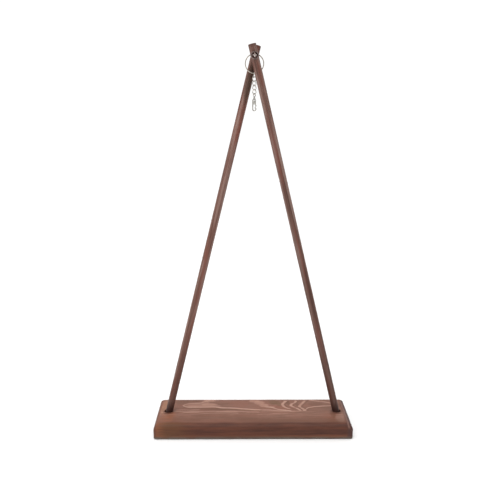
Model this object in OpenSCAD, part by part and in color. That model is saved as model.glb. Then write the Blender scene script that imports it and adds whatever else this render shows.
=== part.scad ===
// Table-top wind chime stand: a plank base, two round posts that lean together and cross, a screw
// through the crossing, and a split ring on the screw that carries a short curb chain and a clasp.
// The origin is the centre of the base's underside. X runs along the base, -Y is the front, +Z is up.

/* [Stand] */
// Height of the highest corner of the posts above the table
stand_h = 490; // [420:5:600]
// Length of the base, left to right
base_l = 260; // [230:5:340]
// Depth of the base, front to back
base_w = 80; // [60:2:120]
// Thickness of the base
base_t = 20; // [17:0.5:30]
// Radius of the rounding along the base's upper edges
top_round = 8; // [3:0.5:12]
// Radius that eases the base's lower edges
foot_round = 1; // [0.4:0.2:2.5]
// Radius of the base's upright corners, seen from above
corner_round = 3; // [1:0.5:10]

/* [Posts] */
// Diameter of each post
post_d = 9.5; // [8:0.5:14]
// Distance from the end of the base to the centre of a post where it enters the top
post_inset = 16.8; // [14:0.2:40]
// Depth of each socket, measured along the post
socket_depth = 14; // [8:0.5:15]
// Clearance all round the post in its socket, filled with glue
socket_clear = 0.1; // [0.05:0.05:0.4]
// How far the mouth of each socket is opened towards the end of the base
mouth_shift = 1.6; // [0:0.2:3]
// Depth of that opened mouth
mouth_depth = 2.5; // [1:0.5:5]
// Bevel round the upper end of each post
post_bevel = 0.4; // [0.2:0.1:1]
// Height of the highest corner of the posts above the pivot screw
screw_drop = 14; // [10:0.5:30]
// Gap between the two posts where they cross
post_gap = 3.4; // [3.2:0.1:6]

/* [Pivot hardware] */
// Diameter of the screw's shank
screw_d = 4; // [3:0.5:5]
// Length of the screw under its head
screw_len = 30; // [28:1:45]
// Diameter of the screw's head
head_d = 7.8; // [6:0.2:10]
// Height of the screw's head
head_h = 2.6; // [1.8:0.1:4]
// Length of each arm of the cross recess, tip to tip
recess_l = 4.2; // [2:0.2:5]
// Width of each arm of the cross recess
recess_w = 1.0; // [0.6:0.1:1.4]
// Depth of the cross recess
recess_depth = 1.6; // [0.8:0.1:2]
// Outer diameter of each washer
washer_d = 9; // [8:0.5:12]
// Thickness of each washer
washer_t = 0.8; // [0.5:0.1:1.6]
// Distance across the flats of the nut
nut_af = 7; // [6:0.5:9]
// Thickness of the nut
nut_t = 3.2; // [2:0.1:5]
// Clearance round the screw in the posts and washers
screw_clear = 0.2; // [0.1:0.05:0.4]
// Clearance round the screw's thread in the nut
thread_clear = 0.04; // [0.02:0.01:0.08]
// Depth of the flat that each washer seats on
seat_flat = 0.5; // [0.3:0.1:1]

/* [Split ring] */
// Outer diameter of the split ring
ring_od = 23; // [20:0.5:30]
// Width of the ring's wire, measured towards its centre
ring_wire_w = 1.2; // [0.9:0.1:1.6]
// Thickness of the ring's wire, measured along the screw
ring_wire_t = 0.85; // [0.6:0.05:0.9]
// Gap between the two turns of the ring
ring_turn_gap = 0.42; // [0.41:0.01:0.6]
// Angle over which the wire steps from one turn to the other
ring_step = 27; // [18:9:45]

/* [Chain] */
// Diameter of the wire of the links
link_wire_d = 1; // [0.7:0.1:1.2]
// Outer width of a link
link_w = 5; // [4.6:0.1:6]
// Outer length of a link
link_l = 7; // [6.6:0.1:9]
// Outer length of the first link, which joins the chain to the ring
joiner_l = 7.1; // [7:0.1:12]
// Angle that each end of a link is twisted out of the chain's plane
link_twist = 45; // [40:1:50]
// Gap where one link seats on the next
link_play = 0.15; // [0.1:0.05:0.3]

/* [Clasp] */
// Diameter of the hole in the clasp's eye
eye_hole_d = 2.7; // [2.6:0.1:3.4]
// Diameter of the wire of the eye
eye_wire_d = 1.1; // [0.9:0.1:1.4]
// Diameter of the stem that turns in the clasp's collar
stem_d = 1.3; // [1:0.1:1.5]
// Diameter of the head that keeps the stem in the collar
stem_head_d = 2; // [1.8:0.1:2.1]
// Thickness of that head
stem_head_t = 0.6; // [0.4:0.1:0.8]
// Clearance all round the stem and round the pin in the trigger
turn_clear = 0.05; // [0.03:0.01:0.08]
// Outer diameter of the collar
collar_d = 2.6; // [2.4:0.1:3]
// Height of the collar
collar_h = 2.2; // [1.4:0.1:3]
// Height of the window that shows the head of the stem
window_h = 1.3; // [1.1:0.1:2]
// Outer length of the clasp from the top of its collar to the bottom of its hook
clasp_l = 16; // [15:0.2:24]
// Outer width of the hook
clasp_w = 5.2; // [5:0.1:7]
// Diameter of the round bar of the hook
hook_d = 1.4; // [1.1:0.1:1.6]
// Thickness of the clasp's head, front to back
cheek_t = 2.6; // [2.4:0.1:3.4]
// Height of the two cheeks that hold the trigger
cheek_h = 4.4; // [4:0.1:5]
// Width of the slot between the cheeks
slot_w = 1.2; // [1.1:0.1:1.4]
// Thickness of the trigger
trigger_t = 1; // [0.8:0.1:1]
// Diameter of the trigger's pin
pin_d = 0.8; // [0.6:0.1:0.9]
// Diameter of the wire of the trigger's spring
spring_wire_d = 0.18; // [0.12:0.02:0.2]
// Outer diameter of the trigger's spring
spring_od = 1; // [0.8:0.05:1]
// Number of turns of the trigger's spring
spring_turns = 3; // [2:1:3]

/* [Hidden] */
$fn = 64;
SMALL_FN = 24;
EPS = 0.01;
walnut = [0.40, 0.26, 0.21];
walnut_post = [0.45, 0.32, 0.27];
dark_steel = [0.36, 0.33, 0.32];
zinc = [0.66, 0.66, 0.67];
silver = [0.78, 0.78, 0.79];

// Posts: each axis runs from its foot in the base's top to its side of the crossing
foot_x = base_l / 2 - post_inset;
pivot_z = stand_h - screw_drop;
post_y = (post_d + post_gap) / 2;
post_run = [foot_x, post_y, pivot_z - base_t];
post_dir = post_run / norm(post_run);
post_lean = acos(post_dir.z);
post_over = (screw_drop - (post_d / 2 - post_bevel) * sin(post_lean)) / post_dir.z;
post_len = socket_depth + norm(post_run) + post_over;

// Pivot hardware, as distances from the middle of the gap along Y
seat_y = post_gap / 2 + post_d - seat_flat;
washer_y = seat_y + washer_t;
seat_margin = 0.5;

// Split ring, hung on the top of the shank
ring_mid_r = (ring_od - ring_wire_w) / 2;
ring_in_r = ring_od / 2 - ring_wire_w;
ring_z = pivot_z + screw_d / 2 + link_play - ring_in_r;
ring_pitch = ring_wire_t + ring_turn_gap;
RING_SIDES = 12;
RING_STEPS = 40;

// Chain: the rise of the ring's two turns into the round top of the joining link sets the first seat
link_bend_r = (link_w - link_wire_d) / 2;
link_side = link_l - link_w;
joiner_side = joiner_l - link_w;
wire_round = ring_wire_t / 2;
joiner_reach = link_bend_r - link_wire_d / 2 - link_play - wire_round;
joiner_rise = sqrt(pow(joiner_reach, 2) - pow(ring_pitch / 2, 2)) + wire_round;
joiner_top_z = ring_z - ring_in_r - joiner_rise;
joiner_low_z = joiner_top_z - joiner_side;
link_pitch = link_l - 2 * link_wire_d - link_play;
joiner_seat_z = joiner_low_z - link_bend_r + link_wire_d / 2;
link_z = [for (i = [0:3]) joiner_seat_z + link_play - link_l / 2 + link_wire_d - i * link_pitch];
LINK_RINGS = 36;
LINK_SIDES = 10;

// Clasp, measured down from the centre of its eye
eye_bend_r = (eye_hole_d + eye_wire_d) / 2;
eye_z = link_z[3] - link_l / 2 + link_wire_d + link_play - eye_hole_d / 2;
collar_gap = 0.4;
collar_top = -(eye_hole_d / 2 + eye_wire_d + collar_gap);
collar_low = collar_top - collar_h;
window_low = collar_low - window_h;
cheek_low = window_low - cheek_h;
stem_play = 0.15;
stem_low = collar_low - stem_play - stem_head_t;
hook_bend_r = (clasp_w - hook_d) / 2;
hook_bend_z = collar_top - clasp_l + clasp_w / 2;
tip_rise = 0.9;
hook_tip_z = hook_bend_z + tip_rise;
pin_inset = 0.8;
pin_rise = 1.05;
pin_x = hook_bend_r - pin_inset;
pin_z = cheek_low + pin_rise;
hub_r = 0.95;
slot_wall = 0.95;
slot_top = window_low - slot_wall;
slot_left = -1;
tail_r = 0.35;
tail_reach = 1.55;
tail_end_x = pin_x - tail_reach;
lever_r = 0.42;
tip_gap = 0.12;
tip_side = 160;
tip_reach = hook_d / 2 + lever_r + tip_gap;
lever_end = [hook_bend_r + tip_reach * cos(tip_side), hook_tip_z + tip_reach * sin(tip_side)];
knee_rise = 2.2;
knee = [hook_bend_r - 0.08, hook_tip_z + knee_rise];
spring_x = tail_end_x / 2;
spring_low = pin_z + tail_r + spring_wire_d / 2;
spring_high = slot_top - spring_wire_d / 2;
SPRING_SIDES = 6;
SPRING_STEPS = 8;

// Distance between the nearest wire surfaces of two turns that lie one turn apart
function turn_gap(path, per_turn, thick) =
    min([for (i = [0:len(path) - 1 - per_turn]) for (k = [-2:2])
        if (i + per_turn + k < len(path)) norm(path[i] - path[i + per_turn + k])]) - thick;

// Faces of a tube of m sides over n rings, closed into a loop or capped at both ends
function tube_faces(n, m, closed) = concat(
    [for (i = [0:(closed ? n - 1 : n - 2)]) for (j = [0:m - 1]) let (a = i * m, b = ((i + 1) % n) * m,
        k = (j + 1) % m) each [[a + j, a + k, b + j], [a + k, b + k, b + j]]],
    closed ? [] : [for (j = [1:m - 2]) [0, j + 1, j]],
    closed ? [] : [for (j = [1:m - 2]) let (e = (n - 1) * m) [e, e + j, e + j + 1]]
);

function unit(v) = v / norm(v);
function spin(v, a) = [v.x * cos(a) - v.y * sin(a), v.x * sin(a) + v.y * cos(a), v.z];

// Points round a wire section w across and t thick with round edges, as [across, along] pairs
function wire_section(w, t, m) = [for (j = [0:m - 1]) let (a = 360 * (j + 0.5) / m)
    [cos(a) * t / 2 + sign(cos(a)) * (w - t) / 2, sin(a) * t / 2]];

// Moves a local Z axis onto the direction v
module along(v) {
    rotate([0, acos(v.z / norm(v)), atan2(v.y, v.x)]) children();
}

// A side view of the base: round upper corners and eased lower ones
module plank_section(w) {
    translate([-w / 2, foot_round]) square([w, base_t - top_round - foot_round]);
    translate([-w / 2 + top_round, base_t / 2]) square([w - 2 * top_round, base_t / 2]);
    translate([-w / 2 + foot_round, 0]) square([w - 2 * foot_round, base_t - top_round]);
    for (s = [-1, 1]) {
        translate([s * (w / 2 - top_round), base_t - top_round]) circle(top_round);
        translate([s * (w / 2 - foot_round), foot_round]) circle(foot_round);
    }
}

module plank_plan() {
    translate([-base_l / 2 + corner_round, -base_w / 2]) square([base_l - 2 * corner_round, base_w]);
    translate([-base_l / 2, -base_w / 2 + corner_round]) square([base_l, base_w - 2 * corner_round]);
    for (x = [-1, 1]) for (y = [-1, 1])
        translate([x * (base_l / 2 - corner_round), y * (base_w / 2 - corner_round)]) circle(corner_round);
}

// The socket of one post; side is 1 for the right foot and -1 for the left
module socket(side) {
    dir = [-side * post_dir.x, -side * post_dir.y, post_dir.z];
    bore = post_d / 2 + socket_clear;
    translate([side * foot_x, 0, base_t]) along(dir)
        translate([0, 0, -socket_depth]) cylinder(r = bore, h = socket_depth + post_d);
    translate([side * (foot_x + mouth_shift), 0, base_t - mouth_depth])
        cylinder(r = bore, h = mouth_depth + EPS);
}

module base() {
    color(walnut) difference() {
        intersection() {
            rotate([90, 0, 0]) linear_extrude(base_w, center = true) plank_section(base_l);
            rotate([90, 0, 90]) linear_extrude(base_l, center = true) plank_section(base_w);
            linear_extrude(base_t) plank_plan();
        }
        socket(1);
        socket(-1);
    }
}

// One post from the bottom of its socket to its bevelled upper end. The post with its foot on the
// right crosses in front, and the other behind.
module post(side) {
    dir = [-side * post_dir.x, -side * post_dir.y, post_dir.z];
    color(walnut_post) difference() {
        translate([side * foot_x, 0, base_t]) along(dir) translate([0, 0, -socket_depth]) {
            cylinder(d = post_d, h = post_len - post_bevel);
            translate([0, 0, post_len - post_bevel])
                cylinder(d1 = post_d, d2 = post_d - 2 * post_bevel, h = post_bevel);
        }
        translate([0, -side * post_y, pivot_z]) rotate([90, 0, 0])
            cylinder(r = screw_d / 2 + screw_clear, h = 2 * post_d, center = true);
        translate([0, -side * (seat_y + post_d / 2), pivot_z])
            cube([2 * post_d, post_d, washer_d + 2 * seat_margin], center = true);
    }
}

module front_post() {
    post(1);
}

module rear_post() {
    post(-1);
}

// The head's side view, turned about the screw: a flat underside and a domed top
module head_section() {
    flatter = 1.12;
    dome_r = flatter * (pow(head_d / 2, 2) + pow(head_h, 2)) / (2 * head_h);
    intersection() {
        square([head_d / 2, head_h]);
        translate([0, head_h - dome_r]) circle(dome_r);
    }
}

module pivot_screw() {
    end_bevel = 0.5;
    color(dark_steel) translate([0, -washer_y, pivot_z]) rotate([90, 0, 0]) difference() {
        union() {
            rotate_extrude() head_section();
            translate([0, 0, -screw_len + end_bevel]) cylinder(d = screw_d, h = screw_len);
            translate([0, 0, -screw_len]) cylinder(d1 = screw_d - 2 * end_bevel, d2 = screw_d, h = end_bevel);
        }
        for (a = [0, 90]) rotate(a)
            translate([-recess_l / 2, -recess_w / 2, head_h - recess_depth])
                cube([recess_l, recess_w, recess_depth + EPS]);
    }
}

// A washer against the seat of the front post (side 1) or of the rear post (side -1)
module washer(side) {
    color(zinc) translate([0, -side * (seat_y + washer_t / 2), pivot_z]) rotate([90, 0, 0])
        difference() {
            cylinder(d = washer_d, h = washer_t, center = true);
            cylinder(r = screw_d / 2 + screw_clear, h = 2 * washer_t, center = true);
        }
}

module front_washer() {
    washer(1);
}

module rear_washer() {
    washer(-1);
}

// A hexagon nut whose corners are turned off by a cone at each face
module pivot_nut() {
    corner_r = nut_af / 2 / cos(30);
    face_share = 0.97;
    face_r = face_share * nut_af / 2;
    slope = (corner_r - face_r) * tan(30);
    side = [[0, 0], [face_r, 0], [corner_r + EPS, slope], [corner_r + EPS, nut_t - slope],
        [face_r, nut_t], [0, nut_t]];
    color(zinc) translate([0, washer_y, pivot_z]) rotate([-90, 0, 0]) difference() {
        intersection() {
            cylinder(r = corner_r, h = nut_t, $fn = 6);
            rotate_extrude() polygon(side);
        }
        translate([0, 0, -EPS]) cylinder(r = screw_d / 2 + thread_clear, h = nut_t + 2 * EPS);
    }
}

// The split ring's wire lies flat for most of each turn and steps across in the last ring_step degrees
// of the first. Angles start at the bottom left so that the step shows at the ring's side.
ring_start = 150;
ring_sweep = 720 - ring_step;
ring_count = floor(ring_sweep / 360 * RING_STEPS) + 1;
function ring_level(a) = let (t = min(1, max(0, (a - (360 - ring_step)) / ring_step)))
    ring_pitch * (t * t * (3 - 2 * t) - 0.5);
function ring_angle(i) = ring_sweep * i / (ring_count - 1);
function ring_path() = [for (i = [0:ring_count - 1]) let (a = ring_angle(i), b = ring_start + a)
    [ring_mid_r * cos(b), ring_level(a), ring_mid_r * sin(b)]];

module split_ring() {
    section = wire_section(ring_wire_w, ring_wire_t, RING_SIDES);
    points = [for (i = [0:ring_count - 1]) let (a = ring_angle(i), b = ring_start + a) for (q = section)
        [(ring_mid_r + q.x) * cos(b), ring_level(a) - q.y, (ring_mid_r + q.x) * sin(b)]];
    color(silver) translate([0, 0, ring_z])
        polyhedron(points, tube_faces(ring_count, RING_SIDES, false));
}

// Half of a round bend in the XZ plane: the upper half for up = 1, the lower for up = -1
module bend(r, d, up) {
    rotate([90, 0, 0]) rotate([0, 0, up > 0 ? 0 : 180]) rotate_extrude(angle = 180)
        translate([r, 0]) circle(d = d);
}

// A point on a flat oval with straight sides of the given length, at the fraction u of its round, as
// [point, outward direction]
link_arc = PI * link_bend_r;
function oval_at(u, side) =
    let (s = u * 2 * (link_arc + side), up = side / 2)
    s < link_arc ? let (a = 180 * s / link_arc)
        [[link_bend_r * cos(a), 0, up + link_bend_r * sin(a)], [cos(a), 0, sin(a)]] :
    s < link_arc + side ? [[-link_bend_r, 0, up - (s - link_arc)], [-1, 0, 0]] :
    s < 2 * link_arc + side ? let (a = 180 + 180 * (s - link_arc - side) / link_arc)
        [[link_bend_r * cos(a), 0, -up + link_bend_r * sin(a)], [cos(a), 0, sin(a)]] :
    [[link_bend_r, 0, s - 2 * link_arc - side - up], [1, 0, 0]];

// A link is an oval turned about Z by an angle that runs smoothly from low_turn at its bottom to
// top_turn at its top, which is the curb twist
function turn_at(z, side, low_turn, top_turn) =
    let (q = sin(90 * max(-1, min(1, z / (side / 2 + link_bend_r)))))
    (top_turn + low_turn) / 2 + q * (top_turn - low_turn) / 2;
function link_at(u, side, low_turn, top_turn) =
    let (q = oval_at(u, side), a = turn_at(q[0].z, side, low_turn, top_turn))
    [spin(q[0], a), spin(q[1], a)];

module twisted_link(side, low_turn, top_turn) {
    du = 0.002;
    points = [for (k = [0:LINK_RINGS - 1]) let (
            q = link_at(k / LINK_RINGS, side, low_turn, top_turn),
            after = link_at((k / LINK_RINGS + du) % 1, side, low_turn, top_turn)[0],
            before = link_at((k / LINK_RINGS - du + 1) % 1, side, low_turn, top_turn)[0],
            t = unit(after - before),
            n = unit(q[1] - (q[1] * t) * t),
            b = cross(n, t)
        ) for (j = [0:LINK_SIDES - 1]) let (a = 360 * j / LINK_SIDES)
            q[0] + link_wire_d / 2 * (n * cos(a) + b * sin(a))];
    polyhedron(points, tube_faces(LINK_RINGS, LINK_SIDES, true));
}

// The link on the ring: its top lies square across the ring, and its bottom square to the next link
module joining_link() {
    color(silver) translate([0, 0, (joiner_top_z + joiner_low_z) / 2])
        twisted_link(joiner_side, 90 + link_twist, 90);
}

module chain_link(i) {
    color(silver) translate([0, 0, link_z[i]]) twisted_link(link_side, -link_twist, link_twist);
}

module chain_link_1() {
    chain_link(0);
}

module chain_link_2() {
    chain_link(1);
}

module chain_link_3() {
    chain_link(2);
}

module chain_link_4() {
    chain_link(3);
}

// The eye, which hangs square to the end of the last link, and its stem, which turns in the collar of
// the clasp and ends in a flat head
module swivel_eye() {
    color(silver) translate([0, 0, eye_z]) rotate(90 - link_twist) {
        difference() {
            union() {
                rotate([90, 0, 0]) rotate_extrude() translate([eye_bend_r, 0]) circle(d = eye_wire_d);
                translate([0, 0, stem_low]) cylinder(d = stem_d, h = -eye_bend_r - stem_low);
            }
            rotate([90, 0, 0]) cylinder(d = eye_hole_d, h = 2 * eye_wire_d, center = true);
        }
        translate([0, 0, stem_low]) cylinder(d = stem_head_d, h = stem_head_t);
    }
}

// Outline of the clasp's head, seen from the front
module head_outline() {
    corner = 0.6;
    neck = 0.3;
    hull() {
        for (s = [-1, 1])
            translate([s * (collar_d / 2 - neck), collar_low + 2 * neck]) circle(neck, $fn = SMALL_FN);
        for (z = [window_low + corner, cheek_low + corner]) {
            translate([-clasp_w / 2 + corner, z]) circle(corner, $fn = SMALL_FN);
            translate([pin_x + hub_r - corner, z]) circle(corner, $fn = SMALL_FN);
        }
    }
}

module clasp_body() {
    window_margin = 0.2;
    pin_hole_clear = 0.02;
    color(silver) translate([0, 0, eye_z]) difference() {
        union() {
            translate([0, 0, collar_low]) cylinder(d = collar_d, h = collar_h);
            rotate([90, 0, 0]) linear_extrude(cheek_t, center = true) head_outline();
            translate([-hook_bend_r, 0, hook_bend_z])
                cylinder(d = hook_d, h = cheek_low + 1 - hook_bend_z);
            translate([0, 0, hook_bend_z]) bend(hook_bend_r, hook_d, -1);
            translate([hook_bend_r, 0, hook_bend_z]) cylinder(d = hook_d, h = hook_tip_z - hook_bend_z);
            translate([hook_bend_r, 0, hook_tip_z]) sphere(d = hook_d);
        }
        translate([0, 0, collar_low - EPS]) cylinder(r = stem_d / 2 + turn_clear, h = collar_h + 2 * EPS);
        translate([0, 0, (collar_low + window_low) / 2])
            cube([stem_head_d + 2 * window_margin, 2 * cheek_t, window_h], center = true);
        translate([slot_left, -slot_w / 2, cheek_low - 1])
            cube([clasp_w, slot_w, slot_top - cheek_low + 1]);
        translate([pin_x, 0, pin_z]) rotate([90, 0, 0])
            cylinder(d = pin_d + 2 * pin_hole_clear, h = 2 * cheek_t, center = true);
    }
}

// Side view of the trigger: hub, tail under the spring, lever with a knee that turns in to rest behind
// the hook's tip, thumb piece
module trigger_outline() {
    thumb_r = 0.4;
    difference() {
        union() {
            translate([pin_x, pin_z]) circle(hub_r);
            hull() {
                translate([pin_x, pin_z]) circle(tail_r, $fn = SMALL_FN);
                translate([tail_end_x, pin_z]) circle(tail_r, $fn = SMALL_FN);
            }
            hull() {
                translate([pin_x + 0.2, pin_z]) circle(0.7, $fn = SMALL_FN);
                translate(knee) circle(lever_r, $fn = SMALL_FN);
            }
            hull() {
                translate(knee) circle(lever_r, $fn = SMALL_FN);
                translate(lever_end) circle(lever_r, $fn = SMALL_FN);
            }
            hull() {
                translate([knee.x, pin_z - 1.6]) circle(thumb_r, $fn = SMALL_FN);
                translate([knee.x + 0.6, pin_z - 2.5]) circle(thumb_r, $fn = SMALL_FN);
                translate([knee.x, pin_z - 3.2]) circle(thumb_r, $fn = SMALL_FN);
            }
        }
        translate([pin_x, pin_z]) circle(pin_d / 2 + turn_clear);
    }
}

module clasp_trigger() {
    color(silver) translate([0, 0, eye_z]) rotate([90, 0, 0])
        linear_extrude(trigger_t, center = true) trigger_outline();
}

module trigger_pin() {
    head = 0.15;
    rim = 0.2;
    color(zinc) translate([pin_x, 0, eye_z + pin_z]) rotate([90, 0, 0]) {
        cylinder(d = pin_d, h = cheek_t, center = true);
        for (s = [-1, 1]) translate([0, 0, s * (cheek_t + head) / 2])
            cylinder(d = pin_d + 2 * rim, h = head, center = true);
    }
}

// The small compression spring between the trigger's tail and the top of the slot
spring_r = (spring_od - spring_wire_d) / 2;
spring_count = spring_turns * SPRING_STEPS + 1;
function spring_path() = [for (i = [0:spring_count - 1]) let (
        a = 360 * i / SPRING_STEPS,
        u = i / (spring_count - 1)
    ) [spring_r * cos(a), spring_r * sin(a), spring_low + (spring_high - spring_low) * u]];

module trigger_spring() {
    path = spring_path();
    points = [for (i = [0:spring_count - 1]) let (
            a = 360 * i / SPRING_STEPS,
            t = unit(path[min(i + 1, spring_count - 1)] - path[max(i - 1, 0)]),
            n = [cos(a), sin(a), 0],
            b = cross(n, t)
        ) for (j = [0:SPRING_SIDES - 1]) let (c = 360 * j / SPRING_SIDES)
            path[i] + spring_wire_d / 2 * (n * cos(c) + b * sin(c))];
    color(zinc) translate([spring_x, 0, eye_z])
        polyhedron(points, tube_faces(spring_count, SPRING_SIDES, false));
}

echo(ring_gap_mm = turn_gap(ring_path(), RING_STEPS, ring_wire_t));
echo(spring_gap_mm = turn_gap(spring_path(), SPRING_STEPS, spring_wire_d));

base();
front_post();
rear_post();
pivot_screw();
front_washer();
rear_washer();
pivot_nut();
split_ring();
joining_link();
chain_link_1();
chain_link_2();
chain_link_3();
chain_link_4();
swivel_eye();
clasp_body();
clasp_trigger();
trigger_pin();
trigger_spring();
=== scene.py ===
from math import acos, asin, copysign, cos, exp, pi, radians, sin, sqrt, tan

import bmesh
import bpy
import numpy as np
from mathutils import Matrix, Vector


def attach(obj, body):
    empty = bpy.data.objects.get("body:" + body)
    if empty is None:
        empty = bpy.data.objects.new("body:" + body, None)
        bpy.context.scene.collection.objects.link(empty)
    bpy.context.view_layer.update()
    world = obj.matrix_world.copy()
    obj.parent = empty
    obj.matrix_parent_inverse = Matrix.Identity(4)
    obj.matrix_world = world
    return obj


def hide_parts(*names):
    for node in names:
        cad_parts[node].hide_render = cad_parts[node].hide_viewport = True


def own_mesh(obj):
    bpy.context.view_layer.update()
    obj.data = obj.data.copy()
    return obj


# Table-top wind chime stand, modelled in millimetres and scaled to metres as its pieces are stored

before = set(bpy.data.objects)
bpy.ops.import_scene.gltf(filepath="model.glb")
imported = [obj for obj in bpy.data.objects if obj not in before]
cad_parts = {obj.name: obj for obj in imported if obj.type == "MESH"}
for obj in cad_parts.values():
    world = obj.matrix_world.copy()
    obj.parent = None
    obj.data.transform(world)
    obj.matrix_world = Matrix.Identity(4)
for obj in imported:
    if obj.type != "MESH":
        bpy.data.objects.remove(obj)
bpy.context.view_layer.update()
MM = 0.001
scene = bpy.context.scene

# Sizes in millimetres, the same as in the construction; RING_STEP and TIP_SIDE are in degrees
BASE_L, BASE_W, BASE_T = 260.0, 80.0, 20.0
TOP_ROUND, FOOT_ROUND, CORNER = 8.0, 1.0, 3.0
POST_D, POST_BEVEL = 9.5, 0.4
FOOT_X, SOCKET_DEPTH, SOCKET_CLEAR = 113.2, 14.0, 0.1
MOUTH_SHIFT, MOUTH_DEPTH = 1.6, 2.5
PIVOT_Z, POST_GAP, SCREW_DROP = 476.0, 3.4, 14.0
POST_Y = (POST_D + POST_GAP) / 2
SCREW_D, SCREW_LEN, HEAD_D, HEAD_H = 4.0, 30.0, 7.8, 2.6
SCREW_CLEAR, THREAD_CLEAR = 0.2, 0.04
WASHER_D, WASHER_T, NUT_AF, NUT_T = 9.0, 0.8, 7.0, 3.2
SEAT_FLAT, SEAT_MARGIN = 0.5, 0.5
SEAT_Y = POST_GAP / 2 + POST_D - SEAT_FLAT
WASHER_Y = SEAT_Y + WASHER_T
RING_OD, RING_WIRE_W, RING_WIRE_T, RING_PITCH, RING_STEP = 23.0, 1.2, 0.85, 1.27, 27.0
LINK_PLAY = 0.15
RING_Z = PIVOT_Z + SCREW_D / 2 + LINK_PLAY - (RING_OD / 2 - RING_WIRE_W)
LINK_WIRE, LINK_BEND, LINK_SIDE, JOINER_SIDE = 1.0, 2.0, 2.0, 2.1
JOINER_TOP_Z = 456.4524
LINK_Z = [450.5024, 445.6524, 440.8024, 435.9524]
EYE_Z, EYE_BEND, EYE_WIRE, STEM_D, STEM_HEAD_T, STEM_PLAY = 432.2524, 1.9, 1.1, 1.3, 0.6, 0.15
COLLAR_TOP, COLLAR_LOW, WINDOW_LOW, CHEEK_LOW = -2.85, -5.05, -6.35, -10.75
HOOK_BEND, HOOK_D, HOOK_BEND_Z, HOOK_TIP_Z = 1.9, 1.4, -16.25, -15.35
PIN_X, PIN_Z, SLOT_TOP = 1.1, -9.7, -7.3
CHEEK_T, SLOT_W, SLOT_LEFT, TURN_CLEAR = 2.6, 1.2, -1.0, 0.05
HUB_R, TAIL_R, TAIL_X, LEVER_R, TIP_GAP, TIP_SIDE = 0.95, 0.35, PIN_X - 1.55, 0.42, 0.12, 160
KNEE_X, KNEE_Z = HOOK_BEND - 0.08, HOOK_TIP_Z + 2.2
SPRING_OD, SPRING_WIRE, SPRING_TURNS = 1.0, 0.18, 3

# From the front post's foot to the pivot, with the signs taken off
RUN = Vector((FOOT_X, POST_Y, PIVOT_Z - BASE_T))

def turned(degrees, axis):
    return Matrix.Rotation(radians(degrees), 4, axis)


TO_FRONT, TO_REAR = turned(90, "X"), turned(-90, "X")


def srgb(*levels):
    """The linear colour of three screen levels, each over 10 of 255."""
    return tuple(((level / 255 + 0.055) / 1.055) ** 2.4 for level in levels)


# Tones of the plank's top, of its lines, of its sides and of its details
TOP_DARK, TOP_MID, TOP_RED = srgb(103, 69, 53), srgb(128, 89, 74), srgb(132, 86, 70)
TOP_PALE, TOP_FRONT, TOP_OLIVE = srgb(146, 109, 95), srgb(106, 63, 45), srgb(106, 78, 54)
LINE_WARM, LINE_PALE = srgb(172, 130, 112), srgb(188, 150, 134)
SIDE_DARK, SIDE_MID, SIDE_RED = srgb(70, 40, 31), srgb(89, 52, 39), srgb(103, 60, 44)
# The orange of the sides is painted light: a glow at the left end and a bounce low on the sides
SIDE_OLIVE, SIDE_ORANGE_PAINTED_LIGHT = srgb(106, 70, 42), srgb(132, 80, 54)
# The glow is painted light at the front left of the top, and the pale tone for the front is a painted
# highlight beside the right post
PAINTED_LIGHT_LEFT, CORNER_PALE, PAINTED_HIGHLIGHT = srgb(150, 92, 62), srgb(170, 122, 92), srgb(160, 130, 116)
ARRIS, PORE, FOOT, END = srgb(100, 88, 79), srgb(56, 34, 28), srgb(50, 28, 24), srgb(76, 50, 46)

# Tones of the posts: dark, middle, red, pale, and an olive one that is painted shade under the crossing. The
# spots name four of them by their place.
POST_TONES = (srgb(82, 55, 46), srgb(124, 89, 78), srgb(128, 74, 61), srgb(158, 128, 118), srgb(80, 59, 48))
DARK, RED, PALE, CROSSING_SHADE = 0, 2, 3, 4
FRONT_SHADE, REAR_SHADE = 0.76, 0.92

# Noise over the plank, in the order in which walnut_base names it: repeats per metre along X, Y and Z,
# offset, detail and roughness
PLANK_NOISE = (
    ((34, 620, 620), (3, 1, 7), 5.0, 0.6),
    ((11, 150, 150), (1, 5, 3), 4.0, 0.55),
    ((16, 34, 60), (5, 2, 1), 3.0, 0.5),
    ((26, 520, 520), (4, 6, 9), 2.0, 0.5),
    ((40, 560, 560), (7, 3, 2), 2.0, 0.5),
    ((45, 260, 260), (2, 8, 5), 3.0, 0.5),
    ((20, 60, 330), (9, 4, 2), 4.0, 0.6),
    ((130, 2600, 2600), (0, 2, 4), 2.0, 0.5),
    ((60, 60, 60), (0, 0, 0), 3.0, 0.5),
)
WOBBLE_SCALE, WOBBLE_MM = (50, 90, 90), (4.0, 2.4, 2.4)

# Repeats per millimetre across and along a post
POST_FIBRE, POST_STREAK = (0.62, 0.62, 0.022), (0.30, 0.30, 0.010)
POST_BLOTCH, POST_PORES = (0.05, 0.05, 0.013), (2.4, 2.4, 0.11)

# Repeats per metre of metal's clouds and scratches, and the turn of the scratches
CLOUD_SCALE, SCRATCH_SCALE, SCRATCH_TURN = (420, 420, 420), (5200, 900, 5200), (0.3, 0.2, 0.5)

# How far a surface of the plank has to face up to take the top's tones
FACES_UP = (0.84, 0.99)

# Where a tone of the plank starts and where it is full, in millimetres: along Y on the top, along X from
# end to end, and along Z up the sides
TOP_EDGE, TOP_FRONT_Y = (-35.5, -29.0), (-6.0, -34.0)
DASH_FRONT, DASH_REAR = (-17.0, -8.0), (7.0, 1.0)
NOTCH_FRONT, NOTCH_REAR = (-31.0, -20.0), (9.0, 2.0)
# The second span here is where painted light, an orange glow, covers the left end of the sides
OLIVE_X, PAINTED_LIGHT_LEFT_X, LEFT_END_X = (-70.0, -118.0), (-112.0, -127.0), (-125.0, -128.5)
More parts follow.
